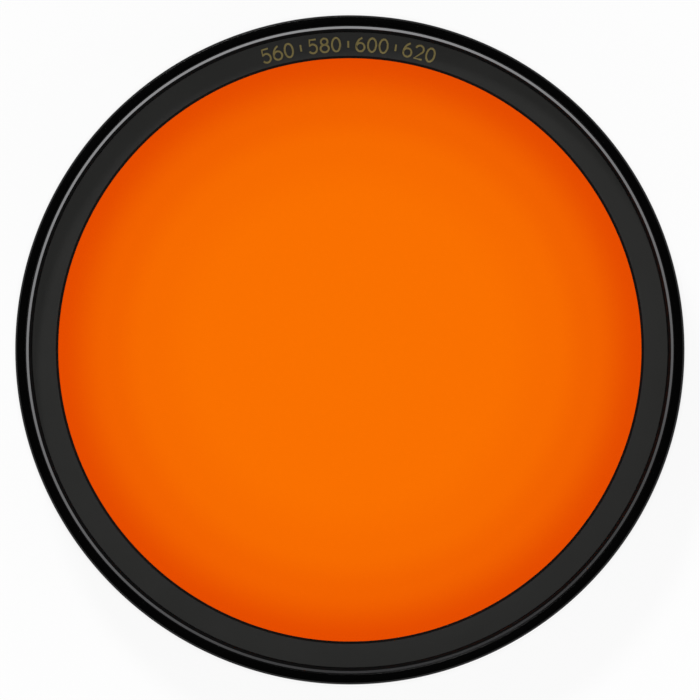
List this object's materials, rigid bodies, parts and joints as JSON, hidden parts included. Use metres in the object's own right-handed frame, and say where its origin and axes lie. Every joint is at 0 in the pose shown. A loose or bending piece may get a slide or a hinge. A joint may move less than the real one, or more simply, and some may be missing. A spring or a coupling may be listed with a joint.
{
  "type": "optical bandpass filter",
  "caption": "Round optical bandpass filter: an orange coated glass disc clamped by a grey ring in a black knurled mount with a fine thread at each end.",
  "frame": {"origin": "centre of the thread's rear end face, on which the filter lies", "axes": "+Z is the optical axis, from the rear thread towards the front; X and Y are alike"},
  "size_m": [0.0444, 0.0444, 0.0078],
  "materials": {
    "black_anodised": "satin black anodised",
    "coated_glass": "polished, orange bandpass coating",
    "grey_anodised": "matt dark grey anodised"
  },
  "bodies": {
    "root": {"mount_ring": "black_anodised", "filter_glass": "coated_glass", "retaining_ring": "grey_anodised"}
  },
  "joints": []
}
